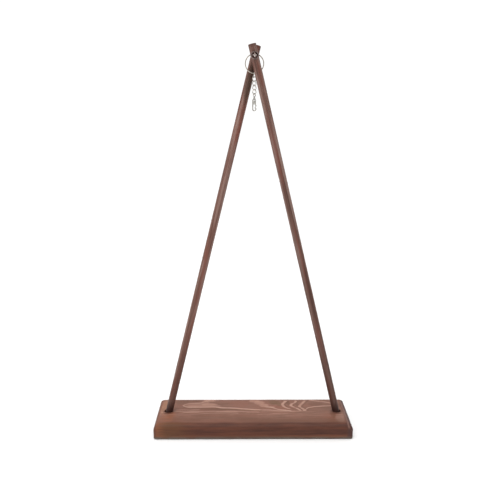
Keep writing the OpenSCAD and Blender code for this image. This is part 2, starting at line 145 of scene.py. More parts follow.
# The first span here sets how strong the painted bounce light low on the sides is from end to end
PAINTED_BOUNCE_X, RIGHT_END_X = (20.0, 70.0), (120.5, 124.5)
VEIN_LEFT, VEIN_RIGHT, VEIN_Z = (122.6, 123.8), (126.0, 124.8), (13.0, 17.0)
# The first two spans here hold the band of painted bounce light low on the sides
PAINTED_BOUNCE_LOW, PAINTED_BOUNCE_HIGH, ARRIS_Z = (2.2, 3.8), (7.2, 4.8), (5.0, 1.4)

# The same along a post, from its foot
POST_DARK_Z, POST_FOOT_Z, POST_END_Z = (170.0, 8.0), (20.0, 3.0), (479.0, 482.0)

# Painted shade round a socket's mouth: the spot's place beyond the foot along X, its place along Y and its
# half-sizes
SOCKET_SHADE_SHIFT, SOCKET_SHADE_OVAL = 1.0, (-2.0, 9.0, 9.0)

# Pale lines of the plank's grain, in millimetres on its top: those that run along X as (x, y) points with
# a half-width and a strength, and those that run across it as (y, x) points
ALONG = [
    ([(-97, 16), (-91, 12.2), (-77, 11.2), (-63, 11.6), (-50, 11.2), (-43, 9), (-29, 8.2), (-17, 6.4),
      (-3, 4.2), (5, 3), (12, 2.6)], 2.4, 0.9),
    ([(-96, 17), (-91, 20.4), (-80, 22.2), (-72, 23.4), (-66, 28), (-58, 31)], 2.2, 0.6),
    ([(9, 2.4), (20, 2.6), (32, 1.2), (44, 0.2), (52, 0.6)], 2.0, 0.55),
    ([(-104, -0.4), (-82, -1.6), (-50, -1.3), (-23, -0.6), (-8, -2.2), (10, -4)], 1.6, 0.45),
    ([(-104, 3.5), (-96, 3.6), (-84, 2.6), (-72, 4.4)], 1.4, 0.35),
    ([(-95, -4.2), (-84, -3.9), (-60, -6.9), (-46, -6.6), (-30, -6.2), (-18, -7.4)], 1.3, 0.4),
    ([(17, 13.5), (27.3, 9.6), (31.3, 6.4), (36.7, 3.2), (46, 1.2), (54, -1)], 2.4, 0.8),
    ([(69, -1), (73, 4), (75.5, 8), (82, 10.7), (92.7, 13.2), (104, 14), (112, 14.5)], 2.0, 0.85),
    ([(80, 31), (93, 29), (101, 26.5), (108, 23.5), (112, 22)], 1.8, 0.75),
]
ACROSS = [
    ([(5, 52), (8, 47.5), (11, 44), (14.5, 42), (18.5, 41.4), (22.5, 43.6), (26, 46), (31, 47)], 2.8, 0.85),
    ([(0, 66.5), (4, 63.5), (8, 60), (12, 55.5), (15.5, 53), (20, 54.6), (24, 59), (27, 60.8),
      (31, 60.4)], 2.8, 0.85),
    ([(-1, 71.5), (2.5, 71), (5, 70), (9, 66.8), (12, 65), (16, 66), (20, 69), (26, 72.3), (31, 75)],
     2.8, 0.8),
]
# How far off the darker line beside each pale one lies, and its share of the strength
ASIDE_ALONG, ASIDE_ACROSS, ASIDE_SHARE = 2.1, -3.3, 0.6
# The millimetres that a whole curve stands for, and the share of a line's half-width where it is full
CURVE_SPAN, LINE_CORE = 300.0, 0.35

# Spots on the plank's top: centre, half-size, tone and amount
TOP_SPOTS = [
    (-78, 16, 17, 6, LINE_WARM, 0.55), (-60, 18, 13, 6, LINE_WARM, 0.8),
    (-66, 24, 7, 8, LINE_WARM, 0.6), (-60, 31, 11, 6, LINE_WARM, 0.65),
    (-62, 23.3, 10, 1.6, TOP_MID, 0.6), (-50, 14, 8, 5, TOP_PALE, 0.8),
    (3, 30, 9, 6, LINE_WARM, 0.6), (10, 24, 9, 7, LINE_WARM, 0.75),
    (16, 16, 8, 6, LINE_WARM, 0.7), (24, 11, 9, 4, LINE_WARM, 0.55),
    (29, 25, 7, 9, TOP_OLIVE, 0.75), (36, 22, 5, 11, TOP_OLIVE, 0.6),
    (-98, 26, 12, 9, TOP_DARK, 0.6), (-84, 30, 14, 6, TOP_DARK, 0.5),
    (88, 20, 14, 8, TOP_DARK, 0.5), (50, 22, 3, 8, TOP_DARK, 0.6),
    (62, 19, 3, 8, TOP_DARK, 0.6), (-18, 20, 18, 12, TOP_RED, 0.5),
    (-60, 5.5, 34, 2.6, TOP_DARK, 0.7), (-30, 2.6, 40, 2.2, TOP_DARK, 0.5),
    # The two spots here are painted light, an orange glow at the front left of the top
    (-113, -10, 12, 12, PAINTED_LIGHT_LEFT, 0.5), (-116, -24, 12, 10, PAINTED_LIGHT_LEFT, 0.3),
    # The second spot here, beside the right post's foot, is a painted highlight
    (-121, 12, 6, 24, CORNER_PALE, 0.5), (115, -20, 8, 14, PAINTED_HIGHLIGHT, 0.3),
    # The first spot here, beside the right post's foot, is the post's painted shadow
    (107, -10, 4, 13, TOP_DARK, 0.6), (75, -30, 60, 12, TOP_DARK, 0.55),
    (-30, -8, 70, 12, TOP_RED, 0.4),
]

# Spots on the posts: place across and along the post, half-size, tone and amount
FRONT_SPOTS = [
    (2.7, 330, 1.7, 92, PALE, 1.0), (-0.6, 362, 1.6, 70, RED, 0.65),
    # The second spot here, pale on the front post's left edge, is a painted highlight
    (0.6, 405, 1.4, 30, DARK, 0.5), (-3.3, 425, 1.5, 38, PALE, 1.0),
    (1.6, 448, 2.2, 20, RED, 0.65), (-1.5, 458, 1.2, 14, DARK, 0.5),
    (0.2, 215, 1.4, 65, RED, 0.8), (1.0, 165, 2.0, 60, DARK, 0.6),
    (-2.2, 190, 1.2, 90, DARK, 0.4), (0.6, 100, 1.3, 50, RED, 0.6),
    # Both spots here are painted light: a pale highlight on the front post's left edge and dark shade on its
    # right edge
    (-3.6, 250, 1.2, 80, PALE, 0.4), (3.4, 120, 1.4, 120, DARK, 0.4),
    (-0.8, 38, 2.4, 26, RED, 0.7),
]
REAR_SPOTS = [
    (-0.3, 300, 1.7, 50, PALE, 0.7), (-1.2, 380, 1.6, 30, PALE, 0.6),
    # The second spot here, dark on the rear post's right edge, is painted shade
    (0.4, 195, 1.6, 60, RED, 0.7), (3.2, 330, 1.6, 80, DARK, 0.35),
    # The first spot here, on the rear post just under the crossing, is painted shade
    (1.6, 441, 6.0, 30, CROSSING_SHADE, 0.9), (-1.5, 160, 2.6, 50, DARK, 0.5),
    (-3.2, 100, 1.3, 60, PALE, 0.5), (0.8, 482, 2.8, 9, RED, 1.0),
    (2.4, 120, 1.6, 40, RED, 0.5), (-2.0, 34, 2.2, 24, RED, 0.9),
]


# Mesh helpers

def add_object(name, data):
    o = bpy.data.objects.new(name, data)
    scene.collection.objects.link(o)
    return o


def temp_object(verts, faces, name="scratch"):
    """A scratch object in millimetres."""
    mesh = bpy.data.meshes.new(name)
    mesh.from_pydata([tuple(map(float, v)) for v in verts], [], [tuple(map(int, f)) for f in faces])
    mesh.update()
    return add_object(name, mesh)


def outward(mesh):
    """Merges corners that coincide and turns the faces outwards."""
    merge = 1e-5
    work = bmesh.new()
    work.from_mesh(mesh)
    bmesh.ops.remove_doubles(work, verts=work.verts, dist=merge)
    bmesh.ops.recalc_face_normals(work, faces=work.faces)
    work.to_mesh(mesh)
    work.free()


def shift(x, y, z):
    return Matrix.Translation((x, y, z))


def moved(o, matrix):
    o.data.transform(matrix)
    return o


def bake(o):
    """Applies the modifiers of a scratch object."""
    graph = bpy.context.evaluated_depsgraph_get()
    mesh = bpy.data.meshes.new_from_object(o.evaluated_get(graph))
    old = o.data
    o.modifiers.clear()
    o.data = mesh
    bpy.data.meshes.remove(old)
    return o


def cut(o, *tools, how="DIFFERENCE"):
    """Takes the tools out of an object, or combines them another way."""
    for tool in tools:
        outward(tool.data)
        step = o.modifiers.new("cut", "BOOLEAN")
        step.operation = how
        step.solver = "EXACT"
        step.object = tool
    bake(o)
    for tool in tools:
        bpy.data.objects.remove(tool)
    return o


def remesh(o, voxel, rounds):
    """Fuses the pieces of a casting into one skin with small fillets."""
    outward(o.data)
    skin = o.modifiers.new("remesh", "REMESH")
    skin.mode = "VOXEL"
    skin.voxel_size = voxel
    soften = o.modifiers.new("soften", "SMOOTH")
    soften.factor = 0.5
    soften.iterations = rounds
    return bake(o)


def join(objects):
    """One object in place of several."""
    verts, faces = [], []
    for o in objects:
        first = len(verts)
        verts += [tuple(v.co) for v in o.data.vertices]
        faces += [[i + first for i in p.vertices] for p in o.data.polygons]
        bpy.data.objects.remove(o)
    return temp_object(verts, faces)


def store(o, name, body, node, slot, *materials, place=None, angle=35.0):
    """Scales a scratch object to metres, puts it in place and gives it to its body."""
    outward(o.data)
    if place is not None:
        o.data.transform(place)
    o.data.transform(Matrix.Scale(MM, 4))
    o.name = o.data.name = name
    o.data.shade_smooth()
    o.data.set_sharp_from_angle(angle=radians(angle))
    o.data.materials.clear()
    for mat in materials:
        o.data.materials.append(mat)
    bpy.context.view_layer.update()
    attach(o, body)
    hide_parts(node)
    return o


def skin_over(rows, closed=False):
    """A skin over rounds of points, joined into a loop or else capped at both ends."""
    n, m = len(rows), len(rows[0])
    faces = []
    for i in range(n if closed else n - 1):
        near, far = i * m, (i + 1) % n * m
        faces += [(near + j, near + (j + 1) % m, far + (j + 1) % m, far + j) for j in range(m)]
    if not closed:
        faces += [list(range(m))[::-1], list(range((n - 1) * m, n * m))]
    return temp_object([point for row in rows for point in row], faces)


def lathe(profile, steps=96):
    """Turns (radius, height) pairs about Z. A radius of 0 closes an end, or else the profile is a loop."""
    verts, rows, faces = [], [], []
    for r, z in profile:
        if r == 0:
            rows.append([len(verts)] * steps)
            verts.append((0, 0, z))
        else:
            rows.append(list(range(len(verts), len(verts) + steps)))
            verts += [(*polar(r, a), z) for a in whole_turn(steps)]
    if profile[0][0] > 0:
        rows.append(rows[0])
    for p, q in zip(rows, rows[1:]):
        for j in range(steps):
            k = (j + 1) % steps
            face = [p[j], p[k], q[k], q[j]]
            faces.append([v for i, v in enumerate(face) if v != face[i - 1]])
    return temp_object(verts, faces)


def mirrored(profile, height):
    """A profile completed by its mirror image, where z stands for height - z."""
    return profile + [(r, height - z) for r, z in reversed(profile)]


def rod(r, low, high, steps=64):
    return lathe([(0, low), (r, low), (r, high), (0, high)], steps)


def block(lo, hi):
    corners = [(x, y, z) for x in (lo[0], hi[0]) for y in (lo[1], hi[1]) for z in (lo[2], hi[2])]
    faces = [(0, 1, 3, 2), (4, 6, 7, 5), (0, 4, 5, 1), (2, 3, 7, 6), (0, 2, 6, 4), (1, 5, 7, 3)]
    return temp_object(corners, faces)


def whole_turn(count):
    return np.linspace(0, 2 * pi, count, endpoint=False)


def polar(r, a):
    return r * cos(a), r * sin(a)


def quarter(count):
    return np.linspace(0, pi / 2, count)


def left_turn(a, b, c):
    return (b[0] - a[0]) * (c[1] - a[1]) - (b[1] - a[1]) * (c[0] - a[0]) > 0


def half_hull(points):
    out = []
    for p in points:
        while len(out) > 1 and not left_turn(out[-2], out[-1], p):
            out.pop()
        out.append(p)
    return out[:-1]


def discs(*circles):
    """The convex outline round some circles (x, z, radius), anticlockwise."""
    points = [(x + r * cos(a), z + r * sin(a)) for x, z, r in circles for a in whole_turn(48)]
    points = sorted(set((round(x, 6), round(z, 6)) for x, z in points))
    return half_hull(points) + half_hull(points[::-1])


def slab(outline, thickness, crown=0.0):
    """An outline in the XZ plane, given a thickness along Y, with its edges drawn in by crown."""
    half = thickness / 2
    centre = np.mean(outline, axis=0)
    levels = [(-half, 0), (half, 0)]
    if crown:
        levels = [(-half, crown), (-half + crown, 0), (half - crown, 0), (half, crown)]
    rows = []
    for y, pull in levels:
        row = []
        for x, z in outline:
            away = np.array([x, z]) - centre
            away = away * (1 - pull / np.linalg.norm(away))
            row.append((centre[0] + away[0], y, centre[1] + away[1]))
        rows.append(row)
    return skin_over(rows)


def round_section(r, steps=20):
    return [polar(r, a) for a in whole_turn(steps)]


def sweep(path, outs, sections, closed):
    """Carries sections of (outward, sideways) points down a path whose outward directions are outs."""
    path, outs = np.array(path, float), np.array(outs, float)
    if closed:
        ahead = np.roll(path, -1, 0) - np.roll(path, 1, 0)
    else:
        ahead = np.gradient(path, axis=0)
    ahead /= np.linalg.norm(ahead, axis=1)[:, None]
    outs = outs - (outs * ahead).sum(1)[:, None] * ahead
    outs /= np.linalg.norm(outs, axis=1)[:, None]
    sides = np.cross(ahead, outs)
    rows = []
    for place, out, side, section in zip(path, outs, sides, sections):
        rows.append([place + a * out + b * side for a, b in section])
    return skin_over(rows, closed)


def torus_part(bend, r, start=0.0, end=360.0, count=96, steps=24):
    """A torus or a part of one in the XZ plane, in degrees from +X towards +Z."""
    closed = end - start >= 360
    angles = np.radians(np.linspace(start, end, count, endpoint=not closed))
    path = [(bend * cos(a), 0, bend * sin(a)) for a in angles]
    outs = [(cos(a), 0, sin(a)) for a in angles]
    return sweep(path, outs, [round_section(r, steps)] * count, closed)


def post_matrix(side):
    """From a post's own frame, with Z up the post, to the stand. Side 1 is the front post."""
    z = Vector((-side * RUN.x, -side * RUN.y, RUN.z)).normalized()
    y = (Vector((0, 1, 0)) - z * z.y).normalized()
    x = y.cross(z)
    matrix = Matrix((x, y, z)).transposed().to_4x4()
    matrix.translation = Vector((side * FOOT_X, 0, BASE_T))
    return matrix


# Materials

class Nodes:
    """A material or world in the making, with short names for its shader nodes."""

    def __init__(self, owner, shader="Principled BSDF"):
        owner.use_nodes = True
        self.owner = owner
        self.tree = owner.node_tree
        self.shader = self.tree.nodes[shader]

    def put(self, socket, value):
        """Links an output to a socket, or sets the socket's own value."""
        if isinstance(value, bpy.types.NodeSocket):
            self.tree.links.new(value, socket)
        else:
            socket.default_value = value

    def new(self, kind, **inputs):
        """A node with these inputs. An underscore stands for the space in an input's name."""
        node = self.tree.nodes.new(kind)
        for word, value in inputs.items():
            self.put(node.inputs[word.replace("_", " ")], value)
        return node

    def math(self, operation, a, b=0.0, kind="ShaderNodeMath"):
        node = self.new(kind)
        node.operation = operation
        self.put(node.inputs[0], a)
        self.put(node.inputs[1], b)
        return node.outputs[0]

    def vector(self, operation, a, b):
        return self.math(operation, a, b, "ShaderNodeVectorMath")

    def times(self, value, *factors):
        for factor in factors:
            value = self.math("MULTIPLY", value, factor)
        return value

    def coords(self, scale, offset=(0, 0, 0), turn=(0, 0, 0)):
        """The place on the stand, in metres before it is scaled, turned and shifted."""
        at = self.new("ShaderNodeTexCoord").outputs["Object"]
        node = self.new("ShaderNodeMapping", Vector=at, Scale=scale, Location=offset, Rotation=turn)
        return node.outputs[0]

    def stretch(self, vector, scale, offset):
        return self.vector("ADD", self.vector("MULTIPLY", vector, scale), offset)

    def split(self, vector):
        return self.new("ShaderNodeSeparateXYZ", Vector=vector).outputs[:]

    def along_post(self, side):
        """Millimetres from the post's foot, with Z along the post."""
        back = (Matrix.Scale(MM, 4) @ post_matrix(side)).inverted()
        turn = back.to_3x3().normalized().to_euler()
        return self.coords((1 / MM, 1 / MM, 1 / MM), tuple(back.translation), tuple(turn))

    def noise(self, vector, detail=3.0, rough=0.5, output="Fac"):
        node = self.new("ShaderNodeTexNoise", Vector=vector, Scale=1.0, Detail=detail, Roughness=rough)
        return node.outputs[output]

    def span(self, value, low, high, out_low=0.0, out_high=1.0):
        """A smooth step of the value from low to high, as a number from out_low to out_high."""
        node = self.new("ShaderNodeMapRange", Value=value, From_Min=low, From_Max=high,
                        To_Min=out_low, To_Max=out_high)
        node.interpolation_type = "SMOOTHSTEP"
        return node.outputs["Result"]

    def ramp(self, fac, stops):
        node = self.new("ShaderNodeValToRGB", Fac=fac)
        elements = node.color_ramp.elements
        while len(elements) < len(stops):
            elements.new(0.5)
        for i, (position, tone) in enumerate(stops):
            elements[i].position = position
            elements[i].color = (*tone, 1)
        return node.outputs["Color"]

    def mix(self, fac, a, b):
        node = self.new("ShaderNodeMix", Factor=fac)
        node.data_type = "RGBA"
        for word, tone in (("A", a), ("B", b)):
            self.put(node.inputs[word], tone if isinstance(tone, bpy.types.NodeSocket) else (*tone, 1))
        return node.outputs["Result"]

    def lay(self, under, tone, *amounts):
        """A tone laid over a colour, as strongly as the amounts multiplied together."""
        return self.mix(self.times(*amounts), under, tone)

    def line(self, u, v, points, half):
        """1 on a smooth line through (u, v) points, fading to 0 at half its width away and at its ends."""
        node = self.new("ShaderNodeFloatCurve")
        curve = node.mapping.curves[0].points
        places = [(a / CURVE_SPAN + 0.5, b / CURVE_SPAN + 0.5) for a, b in points]
        # The curve's own two points wait at its start until the others are in
        curve[0].location, curve[1].location = (0.0, 0.5), (0.001, 0.5)
        for place in places[2:]:
            curve.new(*place)
        curve[0].location, curve[1].location = places[0], places[1]
        node.mapping.extend = "HORIZONTAL"
        node.mapping.update()
        self.put(node.inputs["Value"], self.math("ADD", self.math("DIVIDE", u, CURVE_SPAN), 0.5))
        at = self.times(self.math("SUBTRACT", node.outputs[0], 0.5), CURVE_SPAN)
        away = self.math("ABSOLUTE", self.math("SUBTRACT", v, at))
        start, stop = points[0][0], points[-1][0]
        ends = self.times(self.span(u, start - 1.0, start + 2.0), self.span(u, stop + 1.0, stop - 3.0))
        return self.times(self.span(away, half, LINE_CORE * half), ends)

    def patch(self, u, v, at_u, at_v, half_u, half_v):
        """1 in an oval spot with a soft rim."""
        a = self.math("DIVIDE", self.math("SUBTRACT", u, at_u), half_u)
        b = self.math("DIVIDE", self.math("SUBTRACT", v, at_v), half_v)
        return self.span(self.math("ADD", self.times(a, a), self.times(b, b)), 1.0, 0.25)

    def wood(self, colour, fibre, pore, pore_depth, depth_mm, rough):
        """A wooden surface whose fibres stand out and whose pores lie deeper."""
        raised = self.times(fibre, 0.7)
        sunk = self.times(self.math("SUBTRACT", 1.0, pore), pore_depth)
        self.bump(self.math("ADD", raised, sunk), 0.35, depth_mm)
        rough = self.span(fibre, 0.3, 0.7, *rough)
        return self.out(Base_Color=colour, Roughness=rough, Specular_IOR_Level=0.22)

    def bump(self, height, strength, depth_mm):
        node = self.new("ShaderNodeBump", Height=height, Strength=strength, Distance=depth_mm * MM)
        self.out(Normal=node.outputs["Normal"])

    def out(self, **inputs):
        """Gives the shader its inputs."""
        for word, value in inputs.items():
            self.put(self.shader.inputs[word.replace("_", " ")], value)
        return self.owner


def material(name):
    return Nodes(bpy.data.materials.new(name))


def walnut_base():
    """Stained walnut: pale cathedral grain on top, fine fibre along X, pores, and redder sides."""
    n = material("walnut_base")
    place = n.coords((1 / MM, 1 / MM, 1 / MM))
    wobble = n.noise(n.coords(WOBBLE_SCALE), detail=2.0, rough=0.4, output="Color")
    wobble = n.vector("MULTIPLY", n.vector("SUBTRACT", wobble, (0.5, 0.5, 0.5)), WOBBLE_MM)
    x, y, z = n.split(n.vector("ADD", place, wobble))
    true_x, true_y, true_z = n.split(place)
    noise = [n.noise(n.coords(scale, offset), *kind) for scale, offset, *kind in PLANK_NOISE]
    fibre, streak, blotch, dash, notch, rubbed, grain, pores, foot = noise
    up = n.split(n.new("ShaderNodeTexCoord").outputs["Normal"])[2]
    top = n.times(n.span(up, *FACES_UP), n.span(y, *TOP_EDGE))
    ground = n.ramp(blotch, [(0.25, TOP_DARK), (0.5, TOP_MID), (0.75, TOP_RED)])
    ground = n.lay(ground, TOP_PALE, n.span(streak, 0.45, 0.7), 0.35)
    ground = n.lay(ground, TOP_DARK, n.span(fibre, 0.5, 0.3), 0.35)
    ground = n.lay(ground, TOP_FRONT, n.span(y, *TOP_FRONT_Y, 0.0, 0.55))
    torn = n.span(fibre, 0.3, 0.6, 0.55, 1.0)
    for *oval, tone, amount in TOP_SPOTS:
        ground = n.lay(ground, tone, n.patch(x, y, *oval), torn, amount)
    # Short pale dashes in the middle of the top, and darker ones there and in front
    middle = n.times(n.span(y, *DASH_FRONT), n.span(y, *DASH_REAR))
    ground = n.lay(ground, LINE_WARM, n.span(dash, 0.54, 0.66), middle, 0.7)
    wide = n.span(y, *NOTCH_REAR, 0.0, 0.6)
    ground = n.lay(ground, TOP_DARK, n.span(notch, 0.53, 0.64), n.span(y, *NOTCH_FRONT), wide)
    # Each pale line has a darker one beside it
    lines = shades = 0.0
    for u, v, group, aside in ((x, y, ALONG, ASIDE_ALONG), (y, x, ACROSS, ASIDE_ACROSS)):
        beside = n.math("ADD", v, aside)
        for points, half, strength in group:
            lines = n.math("MAXIMUM", lines, n.times(n.line(u, v, points, half), strength))
            shade = n.times(n.line(u, beside, points, half), ASIDE_SHARE * strength)
            shades = n.math("MAXIMUM", shades, shade)
    worn = n.span(rubbed, 0.28, 0.5, 0.45, 1.0)
    pale = n.mix(n.span(fibre, 0.35, 0.65), LINE_WARM, LINE_PALE)
    face = n.lay(ground, TOP_DARK, shades, torn)
    face = n.lay(face, pale, lines, worn)
    # Darker, redder sides, with an olive area at the left. The orange at the left end is painted light, a
    # glow from the left, and the orange band low on the sides is a painted bounce from the floor
    side = n.ramp(grain, [(0.28, SIDE_DARK), (0.5, SIDE_MID), (0.72, SIDE_RED)])
    leftward = n.times(n.span(true_x, *OLIVE_X), n.span(blotch, 0.35, 0.65, 0.5, 1.0))
    side = n.lay(side, SIDE_OLIVE, leftward, 0.7)
    # Painted light: an orange glow over the left end of the sides
    side = n.lay(side, SIDE_ORANGE_PAINTED_LIGHT, n.span(true_x, *PAINTED_LIGHT_LEFT_X), 0.75)
    # Painted bounce light from the floor: a lighter orange band low on the sides, a little stronger towards
    # the right
    painted_bounce = n.times(n.span(z, *PAINTED_BOUNCE_LOW), n.span(z, *PAINTED_BOUNCE_HIGH))
    side = n.lay(side, SIDE_ORANGE_PAINTED_LIGHT, painted_bounce, n.span(true_x, *PAINTED_BOUNCE_X, 0.3, 0.5))
    side = n.lay(side, SIDE_DARK, n.span(fibre, 0.55, 0.3), 0.35)
    colour = n.mix(top, side, face)
    # The ends are darker, with a pale vein down from the top at the right
    colour = n.lay(colour, END, n.span(x, *RIGHT_END_X), 0.85)
    vein = n.times(n.span(x, *VEIN_LEFT), n.span(x, *VEIN_RIGHT), n.span(true_z, *VEIN_Z))
    colour = n.lay(colour, TOP_PALE, vein, 0.45)
    colour = n.lay(colour, END, n.span(true_x, *LEFT_END_X), 0.55)
    pore = n.span(pores, 0.63, 0.72)
    colour = n.lay(colour, PORE, pore, 0.5)
    # A greyer arris along the underside
    colour = n.lay(colour, ARRIS, n.span(true_z, *ARRIS_Z), n.span(foot, 0.3, 0.6, 0.55, 0.95))
    # Painted shade round each socket's mouth, where the post goes into the plank
    for s in (-1, 1):
        socket_shade = n.patch(true_x, true_y, s * (FOOT_X + SOCKET_SHADE_SHIFT), *SOCKET_SHADE_OVAL)
        colour = n.lay(colour, SIDE_DARK, socket_shade, 0.6)
    return n.wood(colour, fibre, pore, 0.6, 0.12, (0.5, 0.64))


def walnut_post(name, side, seed, shade, spots):
    """A turned post of the same wood: straight grain along its own axis, redder areas, a dark foot."""
    n = material(name)
    tones = [tuple(shade * channel for channel in tone) for tone in POST_TONES]
    dark, mid, red, pale = tones[:4]
    place = n.along_post(side)
    x, _, z = n.split(place)
    fibre = n.noise(n.stretch(place, POST_FIBRE, (seed, 3, 1)), detail=5.0, rough=0.62)
    streak = n.noise(n.stretch(place, POST_STREAK, (seed, 9, 4)), detail=4.0, rough=0.55)
    blotch = n.noise(n.stretch(place, POST_BLOTCH, (seed, 7, 2)))
    colour = n.ramp(blotch, [(0.3, mid), (0.5, mid), (0.68, red)])
    colour = n.lay(colour, pale, n.span(streak, 0.48, 0.66), 0.75)
    colour = n.lay(colour, dark, n.span(streak, 0.47, 0.32), 0.7)
    colour = n.lay(colour, dark, n.span(fibre, 0.45, 0.25), 0.5)
    torn = n.span(fibre, 0.25, 0.6, 0.45, 1.0)
    for *oval, tone, amount in spots:
        colour = n.lay(colour, tones[tone], n.patch(x, z, *oval), torn, amount)
    pore = n.span(n.noise(n.stretch(place, POST_PORES, (1, seed, 4)), detail=2.0), 0.62, 0.71)
    colour = n.lay(colour, PORE, pore, 0.5)
    colour = n.lay(colour, dark, n.span(z, *POST_DARK_Z), 0.6)
    colour = n.lay(colour, FOOT, n.span(z, *POST_FOOT_Z), 0.85)
    ragged = n.math("ADD", z, n.times(n.math("SUBTRACT", fibre, 0.5), 3.0))
    colour = n.lay(colour, dark, n.span(ragged, *POST_END_Z), 0.4)
    return n.wood(colour, fibre, pore, 0.5, 0.1, (0.46, 0.6))


def metal(name, colour, dull, rough, scratch, seed, metallic=1.0):
    """Plated metal: clouded tone, fine scratches and uneven polish."""
    n = material(name)
    cloud = n.noise(n.coords(CLOUD_SCALE, (seed, 1, 2)))
    fine = n.noise(n.coords(SCRATCH_SCALE, (2, seed, 1), SCRATCH_TURN))
    tone = n.mix(n.span(cloud, 0.35, 0.7), colour, dull)
    n.bump(n.math("ADD", fine, n.times(cloud, 0.8)), scratch, 0.02)
    polish = n.math("ADD", n.span(cloud, 0.3, 0.7, rough, rough + 0.14), n.times(fine, 0.06))
    return n.out(Base_Color=tone, Roughness=polish, Metallic=metallic)


def pale_floor():
    n = material("pale_floor")
    cloud = n.noise(n.coords((3, 3, 3)), detail=2.0)
    tone = n.mix(cloud, (0.93, 0.93, 0.93), (0.95, 0.95, 0.95))
    return n.out(Base_Color=tone, Roughness=n.span(cloud, 0.3, 0.7, 0.8, 0.9), Specular_IOR_Level=0.2)


WALNUT = walnut_base()
FRONT_WOOD = walnut_post("walnut_front_post", 1, 2.0, FRONT_SHADE, FRONT_SPOTS)
REAR_WOOD = walnut_post("walnut_rear_post", -1, 6.5, REAR_SHADE, REAR_SPOTS)
DARK_STEEL = metal("dark_steel", srgb(72, 55, 50), srgb(48, 35, 32), 0.36, 0.25, 1.0)
# Near white and partly diffuse, for the screw's recess: worn bare steel with a painted glint
WORN_STEEL_AND_GLINT = metal("worn_steel_and_glint", srgb(250, 242, 238), srgb(226, 214, 208), 0.45, 0.3, 2.0, 0.55)
ZINC = metal("zinc", srgb(164, 150, 146), srgb(132, 118, 114), 0.36, 0.25, 3.0)
SILVER = metal("silver", srgb(224, 220, 213), srgb(190, 187, 181), 0.26, 0.12, 4.0)
RING_STEEL = metal("ring_steel", srgb(206, 196, 184), srgb(168, 160, 150), 0.28, 0.12, 6.0)
CAST_METAL = metal("cast_nickel", srgb(204, 201, 194), srgb(176, 173, 167), 0.3, 0.3, 5.0)


# Base and posts

# Wave numbers of the fine and the coarse part of the wander, in its two directions
FINE, COARSE = (0.061, 0.093), (0.023, 0.041)
# Depth of the hand sanding of the base, how far in from an edge it reaches, and the posts' unevenness
SANDING, EDGE_ZONE, POST_UNEVEN = 0.12, 5.0, 0.05
LONG_STEPS, SHORT_STEPS, CORNER_STEPS, FOOT_STEPS, SIDE_STEPS, ROUND_STEPS = 66, 20, 10, 6, 7, 20
# The mouth's lower edge is eased, and its rim is chamfered; the cutters reach over the top
MOUTH_EASE, MOUTH_RIM, MOUTH_OVER, BORE_OVER = 0.3, 0.4, 0.05, 12.0
# The upper end of a post is dished, over rings at these shares of its radius
POST_STEPS, POST_ROWS, BEVEL_STEPS, END_DISH, END_RINGS = 72, 130, 6, 0.02, (0.66, 0.33)


def wander(u, v, seed):
    """A smooth random field from 0 to 1 for hand-worked surfaces."""
    fine = sin(u * FINE[0] + seed) * cos(v * FINE[1] + seed * 2)
    coarse = sin(u * COARSE[0] + v * COARSE[1] + seed * 5)
    return 0.5 + 0.25 * fine + 0.25 * coarse


def sanded(at, reach, along, z, seed):
    """A point's place across the base, drawn in near its faces where sanding took a little off."""
    if abs(at) <= reach - EDGE_ZONE:
        return at
    return at - copysign(SANDING * wander(along, z * 4, seed), at)


def base_outline(a, b):
    """The outline of the base at one height, from its half length a and half width b."""
    arcs = []
    for x_sign, y_sign, start in ((1, 1, 0), (-1, 1, 90), (-1, -1, 180), (1, -1, 270)):
        x, y = x_sign * (a - CORNER), y_sign * (b - CORNER)
        turns = np.radians(np.linspace(start, start + 90, CORNER_STEPS))
        arcs.append([(x + CORNER * cos(t), y + CORNER * sin(t)) for t in turns])
    outline = []
    for i, steps in enumerate((LONG_STEPS, SHORT_STEPS, LONG_STEPS, SHORT_STEPS)):
        p, q = np.array(arcs[i][-1]), np.array(arcs[(i + 1) % 4][0])
        outline += arcs[i] + [tuple(p + (q - p) * k / steps) for k in range(1, steps)]
    return outline


def base():
    """The plank, rounded above and eased below, with a slanted blind socket for each post."""
    profile = [(FOOT_ROUND * (1 - sin(a)), FOOT_ROUND * (1 - cos(a))) for a in quarter(FOOT_STEPS)]
    profile += [(0.0, z) for z in np.linspace(FOOT_ROUND, BASE_T - TOP_ROUND, SIDE_STEPS)[1:-1]]
    for a in quarter(ROUND_STEPS):
        profile.append((TOP_ROUND * (1 - cos(a)), BASE_T - TOP_ROUND + TOP_ROUND * sin(a)))
    rows = []
    for inset, z in profile:
        a, b = BASE_L / 2 - inset, BASE_W / 2 - inset
        rows.append([(sanded(x, a, y, z, 1.0), sanded(y, b, x, z, 2.5), z) for x, y in base_outline(a, b)])
    o = skin_over(rows)
    outward(o.data)
    bore = POST_D / 2 + SOCKET_CLEAR
    mouth = [(0, -MOUTH_DEPTH), (bore - MOUTH_EASE, -MOUTH_DEPTH), (bore, -MOUTH_DEPTH + MOUTH_EASE),
             (bore, MOUTH_OVER - MOUTH_RIM), (bore + MOUTH_RIM, MOUTH_OVER), (0, MOUTH_OVER)]
    tools = []
    for side in (1, -1):
        tools.append(moved(rod(bore, -SOCKET_DEPTH, BORE_OVER, 96), post_matrix(side)))
        tools.append(moved(lathe(mouth), shift(side * (FOOT_X + MOUTH_SHIFT), 0, BASE_T)))
    cut(o, *tools)
    return store(o, "plank_base", "stand", "base", "walnut_base", WALNUT, angle=40)


